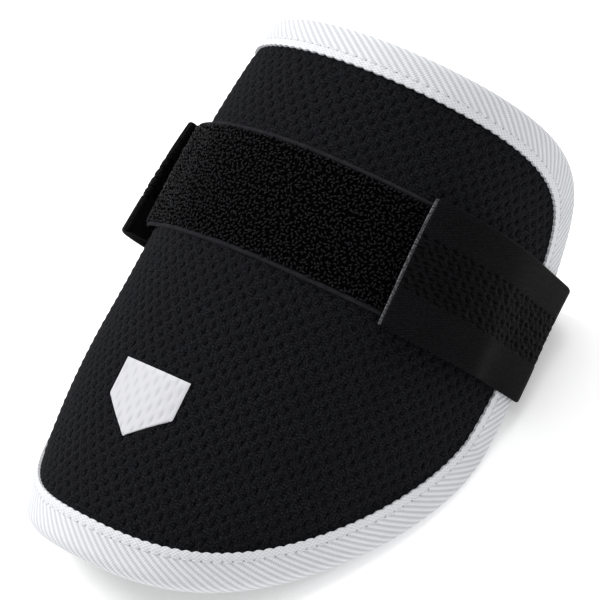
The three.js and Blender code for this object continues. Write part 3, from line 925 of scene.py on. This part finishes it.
def binding_stitches(loop, normals):
    """Threads that lie on both faces of the binding, from one needle hole to the next."""
    reach = np.linspace(*STITCH_SPAN, STITCH_STEPS)
    along = (np.arange(round(RIM_LENGTH / STITCH_AROUND))[:, None] + reach) * STITCH_AROUND
    arch = np.sin(math.pi * (reach - STITCH_SPAN[0]) / (STITCH_SPAN[1] - STITCH_SPAN[0]))
    rise = np.broadcast_to(STITCH_RISE * arch - STITCH_SUNK, along.shape)
    faces = (np.zeros(along.shape), np.ones(along.shape))
    lines = np.concatenate([np.stack([along, face, rise], -1) for face in faces])

    def to_shell(flat):
        position = flat[:, 0] / RIM_LENGTH * len(loop)
        share = (position - np.floor(position))[:, None]
        i = np.floor(position).astype(int) % len(loop)
        j = (i + 1) % len(loop)
        inner = flat[:, 1] > 0.5
        inset = (TAPE_WIDTH - STITCH_INSET + (flat[:, 1] - inner))[:, None]
        normal = normals[i] * (1 - share) + normals[j] * share
        places = loop[i] * (1 - share) + loop[j] * share + normal * inset
        height = np.where(inner, -RIM_THICKNESS - flat[:, 2], flat[:, 2])
        return on_shell(places[:, 0], places[:, 1], height)

    thread = binding_thread()
    return thread_body("binding_stitches", lines, STITCH_THREAD, to_shell, thread)


# The band: a woven ground with smooth selvages, and a pile of loops.


def band_seat(arc, along):
    """Height of the band's underside over the shell's surface."""
    reached = smooth((LIFT_FROM - arc) / (LIFT_FROM - LIFT_MOST))
    passed = smooth((LIFT_MOST - arc) / (LIFT_MOST - LIFT_TO))
    return cloth_height(arc, along) + BAND_SEAT + BAND_LIFT * reached * (1 - BAND_LIFT_LOST * passed)


def band_profile(offset):
    """Height of the band's ground over its seat: a bead along each edge, and lower under the pile."""
    edge = BAND_WIDTH / 2 - np.abs(offset)
    bead = np.sqrt(np.maximum(1 - (2 * edge / SELVAGE_WIDTH - 1) ** 2, 0.03)) * BAND_BODY
    return np.where(edge < SELVAGE_WIDTH / 2, bead, np.maximum(bead, 0.75 * BAND_BODY))


def pile_band():
    arcs = np.arange(-BAND_LEFT, BAND_RIGHT + BAND_STEP / 2, BAND_STEP)
    edge = SELVAGE_WIDTH * np.array([0, 0.06, 0.2, 0.36, 0.5, 0.64, 0.8, 0.92, 1.1, 1.5])
    middle = np.arange(2 * SELVAGE_WIDTH, BAND_WIDTH - 2 * SELVAGE_WIDTH, BAND_STEP)
    offsets = np.concatenate([edge, middle, (BAND_WIDTH - edge)[::-1]]) - BAND_WIDTH / 2
    arc, offset = np.meshgrid(arcs, offsets, indexing="ij")
    along = BAND_ALONG + offset
    seat = band_seat(arc, along)
    wander = BAND_WANDER * np.sin(arc / (9 * MM)) * (np.abs(offset) / (BAND_WIDTH / 2)) ** 6
    pile = smooth((BAND_WIDTH / 2 - np.abs(offset) - SELVAGE_WIDTH) / (0.5 * MM))
    rough = random.normal(0, BAND_ROUGHNESS, arc.shape) * pile
    top = on_shell(arc, along + wander, seat + band_profile(offset) + rough)
    bottom = on_shell(arc, along + wander, seat)
    piece = slab("pile_band", top, bottom, (arc, along), "fastener_band", pile_base())
    loops = pile_loops()
    return piece


def pile_loops():
    """Loops of thread that stand on the band in staggered rows, each turned its own way."""
    row_pitch = PILE_PITCH * math.sqrt(0.75)
    margin = SELVAGE_WIDTH + PILE_THREAD
    rows = np.arange(-BAND_WIDTH / 2 + margin, BAND_WIDTH / 2 - margin, row_pitch)
    spots = []
    for number, offset in enumerate(rows):
        start = -BAND_LEFT + PILE_MARGIN + (number % 2) * PILE_PITCH / 2
        arcs = np.arange(start, BAND_RIGHT - PILE_MARGIN, PILE_PITCH)
        spots.append(np.stack([arcs, np.full(arcs.shape, BAND_ALONG + offset)], -1))
    spots = np.concatenate(spots)
    spots += random.uniform(-PILE_SCATTER, PILE_SCATTER, spots.shape) * PILE_PITCH
    heading = random.normal(*PILE_HEADING, len(spots))
    size = random.uniform(*PILE_SIZES, len(spots))
    height = PILE_HEIGHT * random.uniform(*PILE_HEIGHTS, len(spots))
    lean = random.normal(0, PILE_LEAN, (len(spots), 2))
    reach = np.array([-1, -0.75, 0, 0.75, 1])
    rise = np.sqrt(1 - reach**2)
    half = (PILE_REACH * size)[:, None] * np.stack([np.cos(heading), np.sin(heading)], -1)
    flat = spots[:, None] + half[:, None] * reach[:, None] + lean[:, None] * rise[:, None]
    ground = band_seat(spots[:, 0], spots[:, 1]) + BAND_BODY - PILE_ROOT
    lines = np.concatenate([flat, (ground[:, None] + height[:, None] * rise)[..., None]], -1)
    return thread_body(
        "band_pile", lines, PILE_THREAD, lambda points: on_shell(*points.T), pile_loop()
    )


# The strap: an elastic band knitted open in its middle, from its sewn end round the guard to its free end.
# Arcs are shares of the shell's side, leans of STRAP_SHIFT, heights of FOLD_STANDOFF on the left and of
# FLANK_CLEARANCE on the right. Over the floor: places and heights from the hem (1) to the middle (0).

LEFT_RUN = [
    (0.7, 0.11, 0), (0.62, 0.11, 0), (0.55, 0.34, 0.4), (0.485, 0.6, 0.9), (0.458, 0.76, 1),
    (0.485, 0.9, 1), (0.56, 1, 0.9), (0.7, 1, 0.6), (0.86, 0.8, 0.3), (1, 0.48, 0),
]
RIGHT_RUN = [(1, 1.2), (0.92, 1.25), (0.84, 1.4), (0.78, 2.2)]
FLOOR_RUN = [(0.84, 0.58), (0.69, 0.2), (0.55, 0), (0.45, 0)]
FRONT_STEPS = 6
FRONT_REACH = 72 * MM  # of the smoothed run, from the free end
FRONT_ROUNDS = 60
CORNER_ROUNDS = 4
CORNER_CUT = 0.25


def strap_column(offset):
    """Points along the strap, at an offset from its middle line."""
    along = STRAP_ALONG + offset
    reach = side_arc(along)
    left = [
        on_shell(-arc * reach, along + lean * STRAP_SHIFT, height * FOLD_STANDOFF)
        for arc, height, lean in LEFT_RUN
    ]
    right = [on_shell(arc * reach, along, height * FLANK_CLEARANCE) for arc, height in RIGHT_RUN]
    hem_line = on_shell(side_arc(STRAP_ALONG), STRAP_ALONG, 0.0)[1]
    low = np.array([SHIFT[0], hem_line + STRAP_SLACK + offset, STRAP_THICKNESS / 2])
    floor = []
    for side, hem, rows in ((-1, left[-1], FLOOR_RUN), (1, right[0], FLOOR_RUN[::-1])):
        for across, height in rows:
            point = low + (hem - low) * height
            point[0] = SHIFT[0] + side * across * abs(hem[0] - SHIFT[0])
            floor.append(point)
    front = [
        on_shell(arc, along, STRAP_OVER_PATCH)
        for arc in np.linspace(BAND_RIGHT + STRAP_LANDING, STRAP_FREE_END, FRONT_STEPS + 1)
    ]
    return cut_corners(np.array([*left, *floor, *right, *front]))


def cut_corners(run):
    for _ in range(CORNER_ROUNDS):
        sides = run[1:] - run[:-1]
        cut = np.stack([run[:-1] + CORNER_CUT * sides, run[1:] - CORNER_CUT * sides], 1).reshape(-1, 3)
        run = np.concatenate([run[:1], cut, run[-1:]])
    return run


def strap_rows(offsets):
    """Rows of points of the strap's mid-face, evenly spaced along its middle column."""
    reached = distances(strap_column(0.0))
    wanted = np.linspace(0, reached[-1], round(reached[-1] / STRAP_STEP) + 1)
    return np.stack([at_distance(wanted, reached, strap_column(offset)) for offset in offsets], 1), wanted


def smoothed_front(rows, run):
    """The rows, smoothed over the front and the right flank as an elastic lies under tension."""
    share = smooth((run - run[-1] + FRONT_REACH) / (0.2 * FRONT_REACH))[:, None, None]
    for _ in range(FRONT_ROUNDS):
        middle = (rows[:-2] + 2 * rows[1:-1] + rows[2:]) / 4
        rows = np.concatenate([rows[:1], rows[1:-1] * (1 - share[1:-1]) + middle * share[1:-1], rows[-1:]])
    return rows


def knit_strap():
    plain = np.arange(PLAIN_INSETS[0], KNIT_FROM, PLAIN_STEP)
    knit = np.arange(KNIT_FROM, KNIT_TO + KNIT_STEP, KNIT_STEP)
    plain_after = np.arange(knit[-1] + PLAIN_STEP, STRAP_WIDTH - PLAIN_INSETS[1], PLAIN_STEP)
    across = np.concatenate([STRAP_EDGE, plain, knit, plain_after, (STRAP_WIDTH - STRAP_EDGE)[::-1]])
    rows, run = strap_rows(STRAP_WIDTH / 2 - across)
    rows = smoothed_front(rows, run)
    normals = unit(np.cross(*np.gradient(rows, axis=(0, 1))))
    edge = np.clip(np.minimum(across, STRAP_WIDTH - across) / MM, 0.05, 1)
    zone = smooth((across - KNIT_FROM) / MM) * smooth((KNIT_TO - across) / MM)
    from_end = run[-1] - run
    thinned = 0.55 + 0.45 * smooth(np.minimum(run, from_end) / STRAP_END_ROUNDING)
    half = STRAP_THICKNESS / 2 * np.sqrt(edge * (2 - edge)) * thinned[:, None]
    open_share = KNIT_END_OPEN + (1 - KNIT_END_OPEN) * smooth(from_end / FRONT_REACH)
    run_place, across_place = place = [
        own + KNIT_WOBBLE * zone * np.sin(math.tau * (run[:, None] / periods[0] + across / periods[1]))
        for own, periods in ((run[:, None], WOBBLE_ALONG), (across, WOBBLE_ACROSS))
    ]
    slots = SLOT_DEPTH * pits(run_place, across_place, SLOTS) * zone * open_share[:, None]
    cords = CORD_HEIGHT * zone * np.cos(math.tau * run / SLOT_CELL[0])[:, None]
    top = rows + normals * (half + cords - slots)[..., None]
    bottom = rows - normals * (half - CORD_HEIGHT * zone - cords - slots)[..., None]
    piece = slab(
        "knit_strap", top, bottom, place, "elastic_strap", knit_elastic(), KNIT_CREASE
    )
    return piece


def hook_strip():
    start = STRAP_FREE_END - PATCH_PROUD
    arcs = np.linspace(start, start + PATCH_LENGTH, PATCH_STEPS[0])
    offsets = np.linspace(PATCH_INSET - STRAP_WIDTH / 2, STRAP_WIDTH / 2 - PATCH_INSET, PATCH_STEPS[1])
    arc, offset = np.meshgrid(arcs, offsets, indexing="ij")
    along = STRAP_ALONG + offset
    lumps = random.uniform(-PATCH_LUMP, PATCH_LUMP, arc.shape)
    top = on_shell(arc, along, PATCH_HEIGHT + PATCH_THICKNESS / 2 + 0.3 * lumps)
    bottom = on_shell(arc, along, PATCH_HEIGHT - PATCH_THICKNESS / 2 + lumps)
    piece = slab("hook_strip", top, bottom, (arc, along), "strap_end_patch", hook_patch())
    return piece


# The mark: a plain home plate in white film that follows the cloth.


def plate_mark():
    down = np.linspace(0, 1, MARK_STEPS)
    share = np.linspace(-1, 1, MARK_STEPS)
    half = np.where(down < 1 - MARK_POINT, 1, np.maximum((1 - down) / MARK_POINT, 0.02)) * MARK_WIDTH / 2
    arc = half[:, None] * share
    along = np.broadcast_to((MARK_ALONG + (0.5 - down) * MARK_HEIGHT)[:, None], arc.shape)
    seat = cloth_height(arc, along) - MARK_DENTS * DENT_DEPTH * pits(arc, along, DENTS)
    edge = np.minimum(1 - np.abs(share), np.minimum(down, 1 - down)[:, None])
    crown = MARK_THICKNESS * (0.4 + 0.6 * smooth(edge / MARK_BEVEL))
    top, bottom = on_shell(arc, along, seat + crown + 0.1 * MM), on_shell(arc, along, seat + 0.02 * MM)
    return slab("plate_mark", top, bottom, (arc, along), "front_mark", mark_film())


# Studio.


def aim(made, back, roll=0.0):
    """Turns a camera or a light so that it looks against the direction back."""
    made.rotation_mode = "QUATERNION"
    ahead = (-back).to_track_quat("-Z", "Y")
    made.rotation_quaternion = ahead @ Matrix.Rotation(math.radians(-roll), 3, "Z").to_quaternion()


def camera():
    azimuth, elevation = math.radians(VIEW_AZIMUTH), math.radians(VIEW_ELEVATION)
    flat = math.cos(elevation)
    back = Vector((math.sin(azimuth) * flat, -math.cos(azimuth) * flat, math.sin(elevation)))
    data = bpy.data.cameras.new("camera")
    data.lens = VIEW_LENS
    data.sensor_width = VIEW_SENSOR
    data.clip_start, data.clip_end = VIEW_RANGE
    made = added("camera", data)
    aim(made, back, VIEW_ROLL)
    made.location = VIEW_AIM + Vector(SHIFT) + back * VIEW_DISTANCE
    scene.camera = made


def floor():
    mesh = bpy.data.meshes.new("floor")
    corners = [(-1, -1), (1, -1), (1, 1), (-1, 1)]
    mesh.from_pydata([(x * FLOOR_HALF, y * FLOOR_HALF, 0) for x, y in corners], [], [(0, 1, 2, 3)])
    look = Look("floor", (0.95,) * 3, 0.9, Emission_Color=(1, 1, 1, 1), Emission_Strength=FLOOR_GLOW)
    mesh.materials.append(look.material)
    added("floor", mesh)


def studio():
    floor()
    world = bpy.data.worlds.new("studio")
    world.use_nodes = True
    background = world.node_tree.nodes["Background"]
    background.inputs[0].default_value = (1.0, 1.0, 1.0, 1)
    background.inputs[1].default_value = WORLD_STRENGTH
    scene.world = world
    for name, (direction, power) in LIGHTS.items():
        data = bpy.data.lights.new(name, "AREA")
        data.shape = "DISK"
        data.size = LIGHT_SIZE
        data.energy = power
        light = added(name, data)
        towards = Vector(direction).normalized()
        light.location = towards * LIGHT_DISTANCE
        aim(light, towards)
    scene.view_settings.view_transform = "Standard"


camera()
mesh_pad()
binding()
pile_band()
hook_strip()
knit_strap()
plate_mark()
studio()
